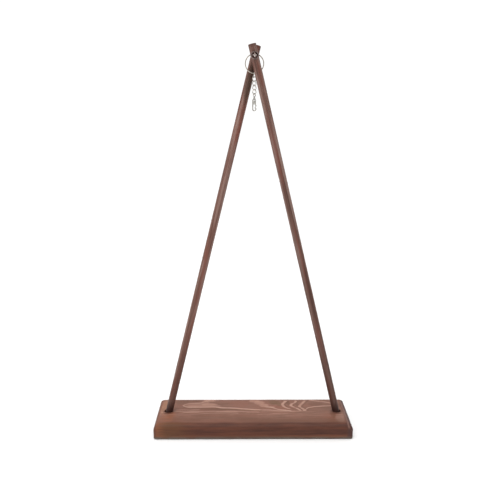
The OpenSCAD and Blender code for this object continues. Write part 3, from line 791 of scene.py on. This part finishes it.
def post(side, node, wood, seed):
    """A slightly uneven turned post with a hole for the screw and a flat where the washer sits."""
    place = post_matrix(side)
    upright = place.col[2].z
    lean = acos(upright)
    length = RUN.length + (SCREW_DROP - (POST_D / 2 - POST_BEVEL) * sin(lean)) / upright
    r = POST_D / 2
    profile = [(r, z) for z in np.linspace(-SOCKET_DEPTH, length - POST_BEVEL, POST_ROWS)]
    for a in quarter(BEVEL_STEPS)[1:]:
        profile.append((r - POST_BEVEL * (1 - cos(a)), length - POST_BEVEL + POST_BEVEL * sin(a)))
    angles = whole_turn(POST_STEPS)
    rows = []
    for full, z in profile:
        row = []
        for a in angles:
            d = full - POST_UNEVEN * wander(z * 2.0, 40 * cos(a) + 25 * sin(a), seed)
            row.append((*polar(d, a), z))
        rows.append(row)
    for inner in END_RINGS:
        z = length - END_DISH * (1 - inner)
        rows.append([(*polar(inner * r, a), z) for a in angles])
    o = skin_over(rows)
    outward(o.data)
    back = place.inverted()
    hole = rod(SCREW_D / 2 + SCREW_CLEAR, -POST_D, POST_D)
    moved(hole, back @ shift(0, -side * POST_Y, PIVOT_Z) @ TO_FRONT)
    near, far = sorted((-side * SEAT_Y, -side * (SEAT_Y + POST_D)))
    half = WASHER_D / 2 + SEAT_MARGIN
    flat = moved(block((-POST_D, near, PIVOT_Z - half), (POST_D, far, PIVOT_Z + half)), back)
    cut(o, hole, flat)
    return store(o, node + "_turned", "stand", node, "walnut_post", wood, place=place, angle=30)


# Pivot hardware

# The dome's radius over that of a cap as high as the head, the chamfer round the dome, and the head's lower
# edge as places out from its radius and up
DOME_FACTOR, DOME_CHAMFER, HEAD_FOOT = 1.12, 0.12, [(-0.1, 0), (-0.02, 0.05), (0, 0.18)]
# Arms of the cross recess: height from the head's top, half length and half width
RECESS = ((-1.5, 1.35, 0.28), (-0.75, 2.0, 0.48), (0.1, 2.55, 0.68))
# Faces that take the near-white colour, worn bare steel with a painted glint, lie this near to the screw's
# axis and to an arm's, this high, and this deep under the dome
BRIGHT_R, BRIGHT_HALF, BRIGHT_Z, BRIGHT_DEPTH = 2.5, 0.5, 0.5, 0.03
# The shank starts this far inside the head, in rounds this far apart with this many points
SHANK_SINK, SHANK_STEP, SHANK_STEPS = 0.4, 0.1, 48
THREAD_PITCH, THREAD_DEPTH, THREAD_FROM, TIP_LENGTH, TIP_SLOPE = 0.7, 0.324, 15.0, 0.6, 0.7
# How far the washers' edges are eased, and the share of it where the middle of the ease lies
EDGE_EASE, EDGE_MIDDLE = 0.14, 0.3
# The share of the nut's face that stays flat, how far the crown's cutter reaches over, the bore as places
# out from its radius and up, and the bevels
NUT_FACE, CROWN_OVER, NUT_BORE = 0.97, 0.05, [(0.4, -0.1), (0.28, 0.02), (0, 0.32)]
NUT_BEVEL, NUT_BEVEL_FROM = 0.07, 28


def screw_shank():
    """It starts inside the head, and its farther half has a fine thread."""
    rows = []
    for z in np.arange(-SHANK_SINK, SCREW_LEN + SHANK_STEP / 2, SHANK_STEP):
        begun = np.clip(z - THREAD_FROM, 0, 1)
        tip = max(0, z - (SCREW_LEN - TIP_LENGTH)) * TIP_SLOPE
        row = []
        for a in whole_turn(SHANK_STEPS):
            turn = (z / THREAD_PITCH - a / (2 * pi)) % 1
            groove = THREAD_DEPTH * (1 - abs(2 * turn - 1)) * begun
            r = SCREW_D / 2 - max(groove, tip)
            row.append((*polar(r, a), -z))
        rows.append(row)
    return skin_over(rows)


def screw():
    """A pan head screw; the recess in its head is near white, partly worn bare steel and partly a painted
    glint.
    """
    r = HEAD_D / 2
    dome = (r ** 2 + HEAD_H ** 2) / (2 * HEAD_H) * DOME_FACTOR
    rise = []
    for a in np.linspace(asin((r - DOME_CHAMFER) / dome), 0, 22)[:-1]:
        rise.append((dome * sin(a), HEAD_H - dome + dome * cos(a)))
    foot = [(r + out, z) for out, z in HEAD_FOOT]
    head = lathe([(0, 0)] + foot + [(r, rise[0][1] - DOME_CHAMFER)] + rise + [(0, HEAD_H)])
    outward(head.data)
    arms = []
    for turn in (0, 90):
        rows = []
        for z, l, w in RECESS:
            rows.append([(x, y, HEAD_H + z) for x, y in ((-l, -w), (l, -w), (l, w), (-l, w))])
        arms.append(moved(skin_over(rows), turned(turn, "Z")))
    cut(head, *arms)
    o = cut(head, screw_shank(), how="UNION")
    outward(o.data)
    flags = []
    for face in o.data.polygons:
        c, out = face.center, face.center.xy.length
        in_cross = min(abs(c.x), abs(c.y)) < BRIGHT_HALF and out < BRIGHT_R and c.z > BRIGHT_Z
        flags.append(in_cross and c.z < HEAD_H - dome + sqrt(dome ** 2 - out ** 2) - BRIGHT_DEPTH)
    place = shift(0, -WASHER_Y, PIVOT_Z) @ TO_FRONT
    piece = store(o, "pan_head_screw", "stand", "pivot_screw", "dark_steel",
                  DARK_STEEL, WORN_STEEL_AND_GLINT, place=place, angle=32)
    for face, bright in zip(piece.data.polygons, flags):
        face.material_index = int(bright)


def washer(side, name, node):
    inner, outer, half = SCREW_D / 2 + SCREW_CLEAR, WASHER_D / 2, WASHER_T / 2
    ease, part = EDGE_EASE, EDGE_EASE * EDGE_MIDDLE
    low = [(inner, -half + ease), (inner + part, -half + part), (inner + ease, -half),
           (outer - ease, -half), (outer - part, -half + part), (outer, -half + ease)]
    place = shift(0, -side * (SEAT_Y + half), PIVOT_Z) @ TO_FRONT
    store(lathe(mirrored(low, 0)), name, "stand", node, "zinc", ZINC, place=place)


def nut():
    """A hexagon nut with its corners turned off and its bore and edges eased."""
    corner = NUT_AF / 2 / cos(pi / 6)
    face = NUT_AF / 2 * NUT_FACE
    slope = (corner - face) * tan(pi / 6)
    o = rod(corner, 0, NUT_T, 6)
    outward(o.data)
    crown = mirrored([(0, 0), (face, 0), (corner + CROWN_OVER, slope)], NUT_T)
    cut(o, lathe(crown), how="INTERSECT")
    bore = [(SCREW_D / 2 + THREAD_CLEAR + out, z) for out, z in NUT_BORE]
    cut(o, lathe(mirrored([(0, bore[0][1])] + bore, NUT_T)))
    ease = o.modifiers.new("ease", "BEVEL")
    ease.width = NUT_BEVEL
    ease.segments = 2
    ease.limit_method = "ANGLE"
    ease.angle_limit = radians(NUT_BEVEL_FROM)
    bake(o)
    place = shift(0, WASHER_Y, PIVOT_Z) @ TO_REAR
    store(o, "hexagon_nut", "stand", "pivot_nut", "zinc", ZINC, place=place, angle=25)


# Ring, links and clasp

# The angle where the ring's wire starts, its squareness, and the taper of the places at its ends
RING_START, RING_POINTS, RING_SQUARE, RING_TAPER = 150.0, 420, 0.62, (0.55, 0.85, 0.97)
LINK_POINTS, SEAM_RISE, SEAM_LENGTH = 140, 0.07, 0.16
# Turns about Z, in degrees: of the lower and upper end of a link, and of the eye
JOINER_TURNS, LINK_TURNS, EYE_TURN = (135, 90), (-45, 45), 45
# The stem's head as (radius, height) from its foot, and its neck up to the eye, from the eye's centre
STEM_HEAD = [(0, 0), (0.8, 0), (0.95, 0.08), (1.0, 0.2), (1.0, 0.42), (0.92, 0.56), (0.8, STEM_HEAD_T)]
STEM_NECK = [(0.72, -2.62), (0.86, -2.35), (0.98, -2.1), (0, -2.1)]
EYE_HOLE_R, NECK_OVER = 1.32, 0.1
# The clasp's castings: the collar's upper edge as (radius, height) from its top, and how far it is sunk in
COLLAR_R, COLLAR_EDGE, COLLAR_SINK = 1.3, [(1.3, -0.3), (1.22, -0.1), (1.05, 0.0)], 0.3
CHEEK_X, CHEEK_R, CHEEK_EASE, SHOULDER_X, SHOULDER_R = -2.0, 0.6, 0.25, 1.0, 0.3
BEND_OVER, CHEEK_OVER, TIP_FROM, TIP_STEPS = 0.05, 1.0, 0.15, 8
# The clasp's cutters, and how far they reach past it
WINDOW_X, SLOT_RIGHT, BODY_PIN_R, LEVER_PIN_R, REACH, BORE_OVER_END = 1.2, 4.5, 0.42, 0.45, 3.0, 0.2
AT_PIN = shift(PIN_X, 0, PIN_Z) @ TO_FRONT
# The lever: its thickness, its arm's root at the pin, and its thumb piece from the knee and the pin
LEVER_T, ROOT_X, ROOT_R = 0.98, PIN_X + 0.2, 0.7
THUMB, THUMB_R = [(0, -1.6), (0.6, -2.5), (0, -3.2)], 0.4
# The rivet's head as (radius, height) from the cheek
RIVET = [(0, -0.15), (0.35, -0.15), (0.55, -0.1), (0.6, 0), (0.4, 0)]
SPRING_POINTS = 150


def squared(value):
    """Brings a sine or cosine nearer to 1 or -1, for a section that is nearly square."""
    return copysign(abs(value) ** RING_SQUARE, value)


def split_ring():
    """Wire wound nearly twice round, with a step from one turn to the other."""
    last = RING_POINTS - 1
    rim = (RING_OD - RING_WIRE_W) / 2
    path, outs, sections = [], [], []
    for i in range(RING_POINTS):
        a = (720 - RING_STEP) * i / last
        t = np.clip((a - (360 - RING_STEP)) / RING_STEP, 0, 1)
        level = RING_PITCH * (t * t * (3 - 2 * t) - 0.5)
        b = radians(RING_START + a)
        path.append((rim * cos(b), level, rim * sin(b)))
        outs.append((cos(b), 0, sin(b)))
        near = min(i, last - i)
        k = RING_TAPER[near] if near < len(RING_TAPER) else 1.0
        across, along = k * RING_WIRE_W / 2, k * RING_WIRE_T / 2
        sections.append([(across * squared(cos(c)), along * squared(sin(c))) for c in whole_turn(20)])
    o = moved(sweep(path, outs, sections, False), shift(0, 0, RING_Z))
    store(o, "wound_split_ring", "ring", "split_ring", "silver", RING_STEEL, angle=50)


def bent(a, height):
    """X and z of a point in a link's bend, whose centre has this height, and the outward direction there."""
    return LINK_BEND * cos(a), height + LINK_BEND * sin(a), cos(a), sin(a)


def link_mesh(side, low_turn, top_turn):
    """The construction's formula for a curb link, in finer steps and with a seam where it was closed."""
    arc, up = pi * LINK_BEND, side / 2
    path, outs, sections = [], [], []
    for i in range(LINK_POINTS):
        s = i / LINK_POINTS * 2 * (arc + side)
        if s < arc:
            x, z, out_x, out_z = bent(s / LINK_BEND, up)
        elif s < arc + side:
            x, z, out_x, out_z = -LINK_BEND, up - (s - arc), -1, 0
        elif s < 2 * arc + side:
            x, z, out_x, out_z = bent(pi + (s - arc - side) / LINK_BEND, -up)
        else:
            x, z, out_x, out_z = LINK_BEND, s - 2 * arc - side - up, 1, 0
        q = sin(pi / 2 * np.clip(z / (up + LINK_BEND), -1, 1))
        t = radians((top_turn + low_turn) / 2 + q * (top_turn - low_turn) / 2)
        path.append((*polar(x, t), z))
        outs.append((*polar(out_x, t), out_z))
        seam = exp(-((s - arc - up) / SEAM_LENGTH) ** 2)
        sections.append(round_section(LINK_WIRE / 2 * (1 + SEAM_RISE * seam)))
    return sweep(path, outs, sections, True)


def links():
    o = moved(link_mesh(JOINER_SIDE, *JOINER_TURNS), shift(0, 0, JOINER_TOP_Z - JOINER_SIDE / 2))
    store(o, "joining_link_wire", "joiner", "joining_link", "silver", SILVER, angle=60)
    for i, z in enumerate(LINK_Z, 1):
        o = moved(link_mesh(LINK_SIDE, *LINK_TURNS), shift(0, 0, z))
        store(o, "curb_link_%d" % i, "link_%d" % i, "chain_link_%d" % i, "silver", SILVER, angle=60)


def swivel_eye():
    """The eye, with a stem through the clasp's collar and a head that keeps it there."""
    low = COLLAR_LOW - STEM_PLAY - STEM_HEAD_T
    profile = [(r, low + z) for r, z in STEM_HEAD]
    profile += [(STEM_D / 2, low + STEM_HEAD_T), (STEM_D / 2, COLLAR_TOP + NECK_OVER)] + STEM_NECK
    o = join([torus_part(EYE_BEND, EYE_WIRE / 2), lathe(profile, 64)])
    remesh(o, voxel=0.06, rounds=2)
    cut(o, moved(rod(EYE_HOLE_R, -REACH, REACH), TO_FRONT))
    moved(o, shift(0, 0, EYE_Z) @ turned(EYE_TURN, "Z"))
    store(o, "cast_swivel_eye", "swivel", "swivel_eye", "silver", SILVER, angle=40)


def clasp_body():
    """Collar, window, two cheeks and the hook, cast in one piece."""
    shoulders = [(x, COLLAR_LOW + CHEEK_R, SHOULDER_R) for x in (-SHOULDER_X, SHOULDER_X)]
    cheeks = [(x, z + CHEEK_R, CHEEK_R) for x in (CHEEK_X, PIN_X + HUB_R - CHEEK_R)
              for z in (WINDOW_LOW, CHEEK_LOW)]
    head = slab(discs(*shoulders, *cheeks), CHEEK_T, CHEEK_EASE)
    collar = [(0, COLLAR_LOW - COLLAR_SINK), (COLLAR_R, COLLAR_LOW - COLLAR_SINK)]
    collar += [(r, COLLAR_TOP + z) for r, z in COLLAR_EDGE] + [(0, COLLAR_TOP)]
    wire, low = HOOK_D / 2, HOOK_BEND_Z - BEND_OVER
    bend = moved(torus_part(HOOK_BEND, wire, 180, 360, 72, 32), shift(0, 0, HOOK_BEND_Z))
    shank = moved(rod(wire, low, CHEEK_LOW + CHEEK_OVER, 48), shift(-HOOK_BEND, 0, 0))
    tip = [(0, low), (wire, low)]
    for a in np.linspace(0, pi / 2 - TIP_FROM, TIP_STEPS):
        tip.append((wire * cos(a), HOOK_TIP_Z + wire * sin(a)))
    tip = moved(lathe(tip + [(0, HOOK_TIP_Z + wire)], 48), shift(HOOK_BEND, 0, 0))
    o = join([lathe(collar, 64), head, shank, bend, tip])
    remesh(o, voxel=0.07, rounds=3)
    bore = rod(STEM_D / 2 + TURN_CLEAR, COLLAR_LOW - BORE_OVER_END, COLLAR_TOP + BORE_OVER_END)
    window = block((-WINDOW_X, -REACH, WINDOW_LOW), (WINDOW_X, REACH, COLLAR_LOW))
    slot = block((SLOT_LEFT, -SLOT_W / 2, CHEEK_LOW - REACH), (SLOT_RIGHT, SLOT_W / 2, SLOT_TOP))
    pin = moved(rod(BODY_PIN_R, -REACH, REACH, 48), AT_PIN)
    cut(o, bore, window, slot, pin)
    moved(o, shift(0, 0, EYE_Z))
    store(o, "cast_clasp_body", "clasp", "clasp_body", "silver", CAST_METAL, angle=40)


def trigger():
    """Hub, tail under the spring, arm, finger to the hook's tip, and thumb piece."""
    knee = (KNEE_X, KNEE_Z, LEVER_R)
    away, angle = HOOK_D / 2 + LEVER_R + TIP_GAP, radians(TIP_SIDE)
    end = (HOOK_BEND + away * cos(angle), HOOK_TIP_Z + away * sin(angle), LEVER_R)
    outlines = [discs((PIN_X, PIN_Z, HUB_R)),
                discs((PIN_X, PIN_Z, TAIL_R), (TAIL_X, PIN_Z, TAIL_R)),
                discs((ROOT_X, PIN_Z, ROOT_R), knee),
                discs(knee, end),
                discs(*[(KNEE_X + x, PIN_Z + z, THUMB_R) for x, z in THUMB])]
    o = join([slab(outline, LEVER_T) for outline in outlines])
    remesh(o, voxel=0.05, rounds=2)
    cut(o, moved(rod(LEVER_PIN_R, -REACH, REACH, 48), AT_PIN))
    moved(o, shift(0, 0, EYE_Z))
    store(o, "cast_trigger", "trigger", "clasp_trigger", "silver", CAST_METAL, angle=40)


def rivet():
    low = [(r, z - CHEEK_T / 2) for r, z in RIVET]
    o = moved(lathe(mirrored(low, 0), 48), shift(PIN_X, 0, EYE_Z + PIN_Z) @ TO_FRONT)
    store(o, "riveted_pin", "clasp", "trigger_pin", "zinc", SILVER)


def spring():
    low, high = PIN_Z + TAIL_R + SPRING_WIRE / 2, SLOT_TOP - SPRING_WIRE / 2
    r = (SPRING_OD - SPRING_WIRE) / 2
    path, outs = [], []
    for u in np.linspace(0, 1, SPRING_POINTS):
        a = 2 * pi * SPRING_TURNS * u
        path.append((TAIL_X / 2 + r * cos(a), r * sin(a), low + (high - low) * u))
        outs.append((*polar(1, a), 0))
    s = sweep(path, outs, [round_section(SPRING_WIRE / 2, 10)] * SPRING_POINTS, False)
    moved(s, shift(0, 0, EYE_Z))
    s = store(s, "coil_spring", "clasp", "trigger_spring", "zinc", SILVER, angle=50)
    # The trigger's tail presses the spring against the top of its pocket
    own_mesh(s)


base()
post(1, "front_post", FRONT_WOOD, 1.7)
post(-1, "rear_post", REAR_WOOD, 4.2)
screw()
washer(1, "washer_under_head", "front_washer")
washer(-1, "washer_under_nut", "rear_washer")
nut()
split_ring()
links()
swivel_eye()
clasp_body()
trigger()
rivet()
spring()


# Floor, light and camera

# Half the floor's side and its depth under the stand, in metres
FLOOR_HALF, FLOOR_DROP = 4.0, 0.0003
# Strength of the studio's light from the front and from behind, and where one turns into the other
LIGHT_FRONT, LIGHT_BACK, LIGHT_TURN = 0.6, 1.06, (0.4, 0.85)
SUN_TOWARD, SUN_STRENGTH, SUN_ANGLE = (0.05, 0.2, -1.0), 1.7, 44.0
LAMP_PLACE, LAMP_AIM, LAMP_SIZE, LAMP_POWER = (-1.5, -0.45, 0.9), (0, 0, 0.25), 0.8, 5.0
# The camera as worked out from the photo: place in millimetres, angles in degrees, and in pixels of the
# frame its side, the focal length and the point that the optical axis meets
CAMERA_PLACE, PITCH, YAW, ROLL = (-18.87, -726.7, 393.2), 13.613, 0.320, 0.037
FRAME_PX, FOCAL_PX, AXIS_PX, SENSOR = 500, 583.5, (241.82, 270.0), 36.0


def floor():
    corners = [(x * FLOOR_HALF, y * FLOOR_HALF, -FLOOR_DROP) for x, y in ((-1, -1), (1, -1), (1, 1), (-1, 1))]
    o = temp_object(corners, [(0, 1, 2, 3)], "floor")
    o.data.materials.append(pale_floor())


def light(name, kind, power, toward, place=(0, 0, 0)):
    """A light that shines in the direction toward."""
    data = bpy.data.lights.new(name, kind)
    data.energy = power
    o = add_object(name, data)
    o.location = place
    o.rotation_euler = Vector(toward).to_track_quat("-Z", "Y").to_euler()
    return data


def lights():
    """A broad sun from above, and a small lamp at the left in front."""
    light("overhead", "SUN", SUN_STRENGTH, SUN_TOWARD).angle = radians(SUN_ANGLE)
    lamp = light("left_key", "AREA", LAMP_POWER, Vector(LAMP_AIM) - Vector(LAMP_PLACE), LAMP_PLACE)
    lamp.shape = "SQUARE"
    lamp.size = LAMP_SIZE


def studio():
    """Light that is stronger behind the stand than in front, and a plain white backdrop."""
    world = bpy.data.worlds.new("studio")
    scene.world = world
    n = Nodes(world, "Background")
    behind = n.split(n.new("ShaderNodeTexCoord").outputs["Generated"])[1]
    seen = n.new("ShaderNodeLightPath").outputs["Is Camera Ray"]
    strength = n.span(behind, *LIGHT_TURN, LIGHT_FRONT, LIGHT_BACK)
    strength = n.new("ShaderNodeMix", Factor=seen, A=strength, B=LIGHT_BACK).outputs["Result"]
    n.out(Color=(1, 1, 1, 1), Strength=strength)


def camera():
    lens = bpy.data.cameras.new("camera")
    lens.sensor_width = SENSOR
    lens.lens = FOCAL_PX / FRAME_PX * SENSOR
    lens.clip_start = 0.01
    lens.clip_end = 50
    lens.shift_x = (FRAME_PX / 2 - AXIS_PX[0]) / FRAME_PX
    lens.shift_y = (AXIS_PX[1] - FRAME_PX / 2) / FRAME_PX
    o = add_object("camera", lens)
    turns = turned(-YAW, "Z") @ turned(90 - PITCH, "X") @ turned(ROLL, "Z")
    o.matrix_world = shift(*Vector(CAMERA_PLACE) * MM) @ turns
    scene.camera = o


floor()
studio()
lights()
camera()
scene.view_settings.view_transform = "Standard"
scene.view_settings.look = "None"
